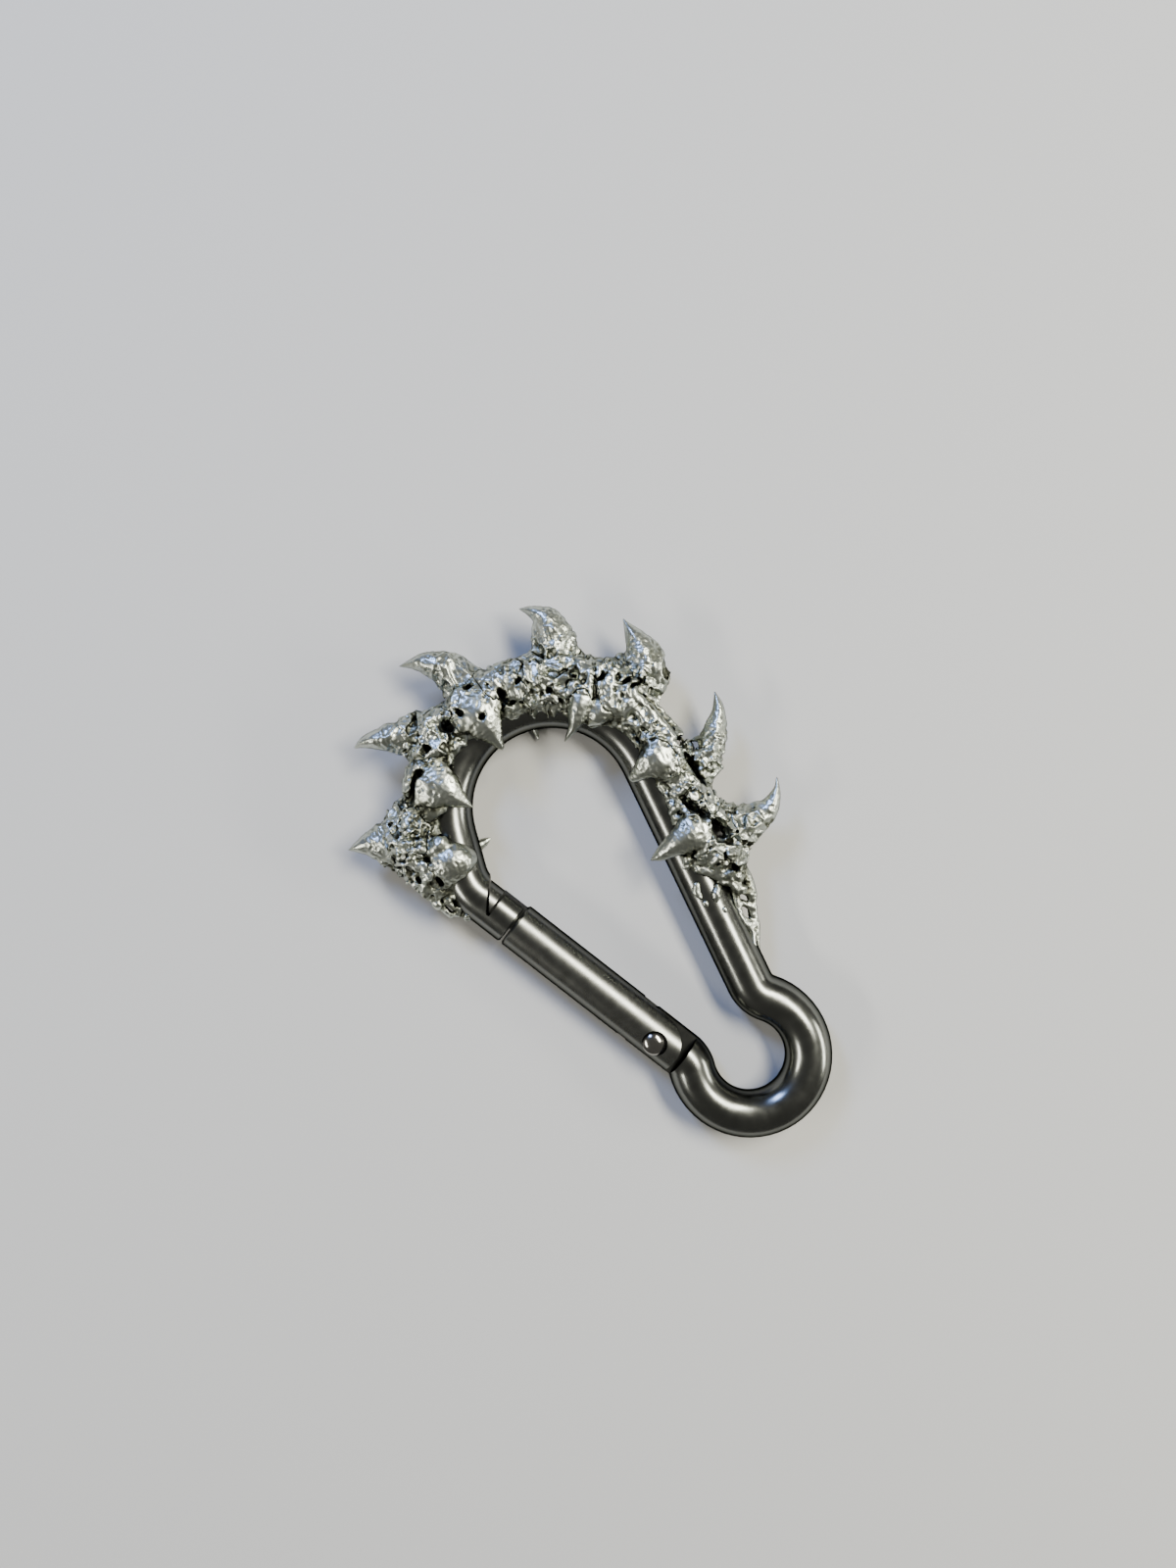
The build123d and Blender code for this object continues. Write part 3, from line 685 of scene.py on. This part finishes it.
# Strings of metal between long hollows, mostly across the rod, with round drops here and there:
# how many times longer they are across the rod than along it, at places along it.
STRETCH_ROWS = [
    (course(140), 1.1), (course(95), 1.5), (course(80), 2.6), (course(20), 2.4), (2.0, 1.2),
]
stretch = np.interp(course_map, *np.array(STRETCH_ROWS).T)
strung = np.stack((course_map, out_map / stretch), axis=2)[index[0], index[1]]
strung = np.column_stack((strung, points[:, 2] / 1.4)).astype(np.float32) + warp * 0.8
strings = walls(*beads(strung, 1.5, 6), width=0.32, rise=0.70, sunk=0.34)
drop_near, _ = beads(loose, 1.2, 5)
drops = np.maximum(0.34 - 1.5 * drop_near**2, -0.12)
patch = np.clip(noise(points, 4.5, 7) * 1.6 + 0.5, 0, 1)
coarse_share = np.clip((rough - 0.4) * 1.8, LEAST_SHARE, 1)
coarse = lumps + strings * (1 - 0.6 * patch) + drops * patch
# Finer threads and round pits, which thin out towards the thorns' tips.
fine_near, fine_following = beads(loose, 0.8, 8)
threads = walls(fine_near, fine_following, width=0.34, rise=0.10, sunk=0.04)
pits = np.maximum(1 - (fine_near / 0.34) ** 2, 0) * 0.10
fine_share = np.clip(rough * 1.3, LEAST_SHARE, 1)
swell = noise(points, 1.7, 9) * 0.09 * (1 - rough)
rise = coarse_share * coarse + fine_share * (threads - pits) + swell
total.ravel()[band] -= rise.astype(np.float32)

# Room for the rod, which reaches a hair into the crust so that no gap shows, and for the table.
SUNK = 0.12
OVER_TABLE = 0.02
rod = np.hypot(out_map[:, :, None], GZ) - (ROD_R - SUNK)
total = np.maximum(total, -rod.astype(np.float32))
total = np.maximum(total, (TABLE + OVER_TABLE - GZ).astype(np.float32))

# ---- pieces ------------------------------------------------------------------------------------

# A crumb is smaller than this in cubic millimetres, or than this share of the piece's main part.
CRUMB = 0.06
CRUMB_SHARE = 0.01
SHUT_LIFTS = (0.35, 0.8)  # the heights over a surface where metal is looked for


def sampled(field, places):
    """The field at some places, between its grid's points."""
    grid = np.clip((places - GRID_LOW) / STEP, 0, np.array(field.shape) - 1.001)
    whole = grid.astype(np.int32)
    part = (grid - whole).astype(np.float32)
    value = np.zeros(len(places), np.float32)
    for corner in CORNERS:
        i, j, k = (whole + corner).T
        value += corner_weight(part, corner) * field[i, j, k]
    return value


def main_parts(points, quads):
    """The mesh without crumbs that float free of it and bubbles inside it."""
    label = np.arange(len(points))
    while True:
        lowest = label[quads].min(axis=1)
        linked = label.copy()
        np.minimum.at(linked, quads.ravel(), np.repeat(lowest, 4))
        linked = linked[linked]
        if (linked == label).all():
            break
        label = linked
    group = label[quads[:, 0]]
    corners = points[quads]
    diagonal = np.cross(corners[:, 2] - corners[:, 0], corners[:, 3] - corners[:, 1])
    volume = np.bincount(
        group, (corners.mean(axis=1) * diagonal).sum(axis=1) / 6, minlength=len(points)
    )
    keep = volume[group] > max(CRUMB, volume.max() * CRUMB_SHARE)
    quads = quads[keep]
    used, quads = np.unique(quads, return_inverse=True)
    return points[used], quads.reshape(-1, 4)


def solid(name, cut, field):
    """A closed smooth mesh where the field is below zero, as a piece in place of a CAD node."""
    grid = openvdb.FloatGrid(FAR)
    padded = np.pad(field, 1, constant_values=1.0)
    grid.copyFromArray(np.ascontiguousarray(padded, dtype=np.float32))
    made, quads = grid.convertToQuads(0.0)
    start = np.array([c.start for c in cut]) - 1
    made = GRID_LOW + (made.astype(float) + start) * STEP
    made, quads = main_parts(made, quads.astype(np.int64))
    mesh = bpy.data.meshes.new(name)
    mesh.vertices.add(len(made))
    mesh.vertices.foreach_set("co", (made * MM).astype(np.float32).ravel())
    mesh.loops.add(quads.size)
    mesh.loops.foreach_set("vertex_index", quads.astype(np.int32).ravel())
    mesh.polygons.add(len(quads))
    mesh.polygons.foreach_set("loop_start", np.arange(0, quads.size, 4, dtype=np.int32))
    mesh.update(calc_edges=True)
    mesh.shade_smooth()
    normal = np.zeros(len(made) * 3, np.float32)
    mesh.vertices.foreach_get("normal", normal)
    normal = normal.reshape(-1, 3)
    # How shut in each point is: how much metal there is just above its surface. It paints shade into
    # the silver's colour in its hollows, and makes them duller.
    shut = np.zeros(len(made), np.float32)
    for lift in SHUT_LIFTS:
        shut += np.clip(1 - sampled(total, made + normal * lift) / lift, 0, 1) / len(SHUT_LIFTS)
    attribute = mesh.attributes.new("hollow_shade", "FLOAT", "POINT")
    attribute.data.foreach_set("value", shut)
    attribute = mesh.attributes.new("rough", "FLOAT", "POINT")
    attribute.data.foreach_set("value", sampled(roughness, made))
    piece = bpy.data.objects.new(name + "_cast", mesh)
    bpy.context.scene.collection.objects.link(piece)
    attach(piece, "frame")
    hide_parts(name)
    return piece


cast_pieces = []
for name, (cut, field) in thorn_field.items():
    best, following = thorn_best[cut], thorn_next[cut]
    others = np.minimum(np.where(field <= best, following, best), crust[cut])
    cast_pieces.append(solid(name, cut, np.maximum(total[cut], (field - others) / 2)))

# The crust's own runs end where the CAD's do, on a slightly wavy line.
SEAM_WAVE = 0.35
RUN_ENDS = {
    "nose_crust": (course(200), course(160)),
    "bow_crust_1": (course(160), course(128)),
    "bow_crust_2": (course(128), course(97)),
    "bow_crust_3": (course(97), course(64)),
    "bow_crust_4": (course(64), course(30)),
    "bow_crust_5": (course(30), 0.0),
    "spine_crust_1": (0.0, 9.5),
    "spine_crust_2": (9.5, 24.0),
}
wave = np.sin(out_map * 2.1) * SEAM_WAVE
for name, (start, end) in RUN_ENDS.items():
    inside = np.maximum(start - course_map - wave, course_map + wave - end)
    hit = np.argwhere(inside < 1.0)
    (i0, j0), (i1, j1) = hit.min(axis=0), hit.max(axis=0) + 1
    cut = (slice(i0, i1), slice(j0, j1), slice(0, total.shape[2]))
    region = np.maximum((crust[cut] - thorn_best[cut]) / 2, inside[i0:i1, j0:j1, None])
    cast_pieces.append(solid(name, cut, np.maximum(total[cut], region).astype(np.float32)))

# ---- materials ---------------------------------------------------------------------------------


class Nodes:
    """A short way to write a material's nodes."""

    def __init__(self, name):
        self.material = bpy.data.materials.new(name)
        self.material.use_nodes = True
        self.tree = self.material.node_tree
        self.shader = self.tree.nodes["Principled BSDF"]

    def add(self, kind, settings=(), **inputs):
        """A new node with its settings and inputs; an input is a value or another's output."""
        node = self.tree.nodes.new(kind)
        for key, value in dict(settings).items():
            setattr(node, key, value)
        for key, value in inputs.items():
            socket = node.inputs[int(key[1:]) if key[0] == "_" else key]
            if isinstance(value, bpy.types.NodeSocket):
                self.tree.links.new(value, socket)
            else:
                socket.default_value = value
        return node

    def ramp(self, value, *stops):
        """A colour ramp through stops of place and colour."""
        node = self.add("ShaderNodeValToRGB", _0=value)
        elements = node.color_ramp.elements
        while len(elements) < len(stops):
            elements.new(0.5)
        for element, (place, colour) in zip(elements, stops):
            element.position = place
            element.color = (*colour, 1.0) if len(colour) == 3 else colour
        return node.outputs["Color"]

    def span(self, value, low, high, to_low, to_high):
        """The value taken from one range to another."""
        node = self.add("ShaderNodeMapRange", _0=value, _1=low, _2=high, _3=to_low, _4=to_high)
        return node.outputs["Result"]

    def calculated(self, operation, *values, clamp=False):
        """The values put through a math node."""
        inputs = {f"_{k}": value for k, value in enumerate(values)}
        settings = {"operation": operation, "use_clamp": clamp}
        return self.add("ShaderNodeMath", settings, **inputs).outputs[0]

    def facing_up(self, low, high, to_low, to_high):
        """A share that grows as the surface turns from sideways to upwards."""
        normal = self.add("ShaderNodeTexCoord").outputs["Normal"]
        height = self.add("ShaderNodeSeparateXYZ", Vector=normal).outputs["Z"]
        return self.span(height, low, high, to_low, to_high)

    def dimmed(self, colour, share):
        """The colour times the share."""
        node = self.add("ShaderNodeVectorMath", {"operation": "SCALE"}, _0=colour)
        self.tree.links.new(share, node.inputs["Scale"])
        return node.outputs["Vector"]

    def noise(self, scale, detail=3.0, where=None):
        """Noise over the object, in its own place."""
        place = where or self.add("ShaderNodeTexCoord").outputs["Object"]
        node = self.add("ShaderNodeTexNoise", Vector=place, Scale=scale, Detail=detail)
        return node.outputs["Fac"]


def cast_silver():
    """White cast metal with painted shade: its colour is darkened in its hollows and on its sideways
    flanks. It is also duller in its hollows and a little patchy in tone.
    """
    n = Nodes("cast_silver")
    hollow_shade = n.add("ShaderNodeAttribute", {"attribute_name": "hollow_shade"}).outputs["Fac"]
    rough = n.add("ShaderNodeAttribute", {"attribute_name": "rough"}).outputs["Fac"]
    patches = n.noise(420.0, 4.0)
    patch_tone = n.calculated("MULTIPLY_ADD", patches, 0.35, -0.17)
    painted_shade_and_patches = n.calculated("ADD", hollow_shade, patch_tone, clamp=True)
    # Painted shade: the colour falls to near black as a place is more shut in, with random patches of
    # tone mixed in.
    colour = n.ramp(
        painted_shade_and_patches,
        (0.0, (0.60, 0.63, 0.56)),
        (0.20, (0.42, 0.44, 0.37)),
        (0.45, (0.13, 0.133, 0.10)),
        (0.85, (0.015, 0.016, 0.011)),
    )
    # Painted shade: the colour is darkened where the surface turns sideways, standing in for dark
    # reflections on the flanks.
    colour = n.dimmed(colour, n.facing_up(0.10, 0.62, 0.45, 1.0))
    n.tree.links.new(colour, n.shader.inputs["Base Color"])
    n.shader.inputs["Metallic"].default_value = 1.0
    n.shader.inputs["Specular Tint"].default_value = (0.3, 0.3, 0.3, 1.0)
    dull = n.span(painted_shade_and_patches, 0.0, 0.8, 0.30, 0.48)
    n.tree.links.new(dull, n.shader.inputs["Roughness"])
    pits = n.noise(2600.0, 5.0)
    grain = n.calculated("MULTIPLY", pits, rough)
    bump = n.add("ShaderNodeBump", Strength=0.5, Distance=0.00012, Height=grain)
    n.tree.links.new(bump.outputs["Normal"], n.shader.inputs["Normal"])
    return n.material


def polished_steel(name, colour, shine):
    """Polished wire: a little uneven in colour and gloss, with fine rub marks, and painted shade
    darkening its sideways flanks.
    """
    n = Nodes(name)
    cloud = n.noise(160.0, 4.0)
    darker, lighter = (tuple(c * share for c in colour) for share in (0.86, 1.1))
    tint = n.ramp(cloud, (0.3, darker), (0.7, lighter))
    # Painted shade: the colour is darkened where the wire turns sideways, standing in for dark
    # reflections on its flanks.
    tint = n.dimmed(tint, n.facing_up(0.15, 0.85, 0.32, 1.0))
    n.tree.links.new(tint, n.shader.inputs["Base Color"])
    n.shader.inputs["Metallic"].default_value = 1.0
    n.shader.inputs["Specular Tint"].default_value = (0.1, 0.1, 0.1, 1.0)
    smears = n.noise(700.0, 5.0)
    n.tree.links.new(n.span(smears, 0.3, 0.75, shine, shine + 0.07), n.shader.inputs["Roughness"])
    ripple = n.noise(230.0, 2.0)
    bump = n.add("ShaderNodeBump", Strength=0.04, Distance=0.0001, Height=ripple)
    n.tree.links.new(bump.outputs["Normal"], n.shader.inputs["Normal"])
    return n.material


silver = cast_silver()
for piece in cast_pieces:
    piece.data.materials.append(silver)

STEELS = {
    "hook_frame": polished_steel("steel_rod", (0.235, 0.24, 0.222), 0.19),
    "gate": polished_steel("steel_gate", (0.24, 0.243, 0.225), 0.25),
    "pivot_rivet": polished_steel("steel_rivet", (0.50, 0.48, 0.45), 0.12),
    "plunger": polished_steel("steel_plunger", (0.42, 0.41, 0.39), 0.22),
    "gate_spring": polished_steel("steel_spring", (0.40, 0.39, 0.37), 0.25),
}
for name, material in STEELS.items():
    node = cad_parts[name]
    node.data.materials.clear()
    node.data.materials.append(material)

# ---- floor, light and camera -------------------------------------------------------------------

SPAN = 3.0
floor_height = float(cad_box[0][2])
corners = ((-SPAN, -SPAN), (SPAN, -SPAN), (SPAN, SPAN), (-SPAN, SPAN))
floor_mesh = bpy.data.meshes.new("floor")
floor_mesh.from_pydata([(x, y, floor_height) for x, y in corners], [], [(0, 1, 2, 3)])
floor = bpy.data.objects.new("floor", floor_mesh)
bpy.context.scene.collection.objects.link(floor)
pale = Nodes("pale_floor")
pale.shader.inputs["Base Color"].default_value = (0.64, 0.63, 0.61, 1.0)
pale.shader.inputs["Roughness"].default_value = 0.85
floor.data.materials.append(pale.material)

world = bpy.data.worlds.new("studio")
world.use_nodes = True
background = world.node_tree.nodes["Background"]
background.inputs["Color"].default_value = (1.0, 0.98, 0.90, 1.0)
background.inputs["Strength"].default_value = 0.10
bpy.context.scene.world = world

# Which way is up in the picture, level with the floor, what it looks at, and from how high.
PICTURE_UP = Vector((0.6246, 0.7810, 0.0)).normalized()
PICTURE_RIGHT = Vector((0.7810, -0.6246, 0.0)).normalized()
CAMERA_HEIGHT = 0.157
aim = Vector((0.0057, 0.0416, 0.0))


def softbox(name, right, up, height, size, power, colour):
    """A soft light over the object, at a place in the picture's own right and up. Its length
    runs with the hook frame's spine."""
    lamp = bpy.data.lights.new(name, "AREA")
    lamp.shape = "RECTANGLE"
    lamp.size, lamp.size_y = size
    lamp.energy = power
    lamp.color = colour
    holder = bpy.data.objects.new(name, lamp)
    holder.location = aim + PICTURE_RIGHT * right + PICTURE_UP * up + Vector((0, 0, height))
    away = (holder.location - aim).normalized()
    across = away.cross(Vector(SPINE_DOWN)).normalized()
    holder.rotation_euler = Matrix((across, away.cross(across), away)).transposed().to_euler()
    bpy.context.scene.collection.objects.link(holder)


softbox("key", 0.28, 0.17, 0.50, (0.13, 0.42), 4.8, (1.0, 0.98, 0.86))
softbox("cool", -0.24, 0.34, 0.36, (0.10, 0.16), 1.8, (0.34, 0.50, 1.0))
softbox("side", 0.42, -0.06, 0.15, (0.05, 0.22), 0.8, (1.0, 0.99, 0.88))
softbox("low", -0.40, -0.16, 0.30, (0.05, 0.30), 1.1, (1.0, 0.98, 0.90))

camera = bpy.data.objects.new("camera", bpy.data.cameras.new("camera"))
camera.data.sensor_fit = "AUTO"
camera.data.sensor_width = 36.0
camera.data.lens = 27.0
camera.data.clip_start = 0.01
camera.location = aim + Vector((0, 0, CAMERA_HEIGHT))
camera.rotation_euler = Matrix((PICTURE_RIGHT, PICTURE_UP, (0, 0, 1))).transposed().to_euler()
bpy.context.scene.collection.objects.link(camera)
bpy.context.scene.camera = camera
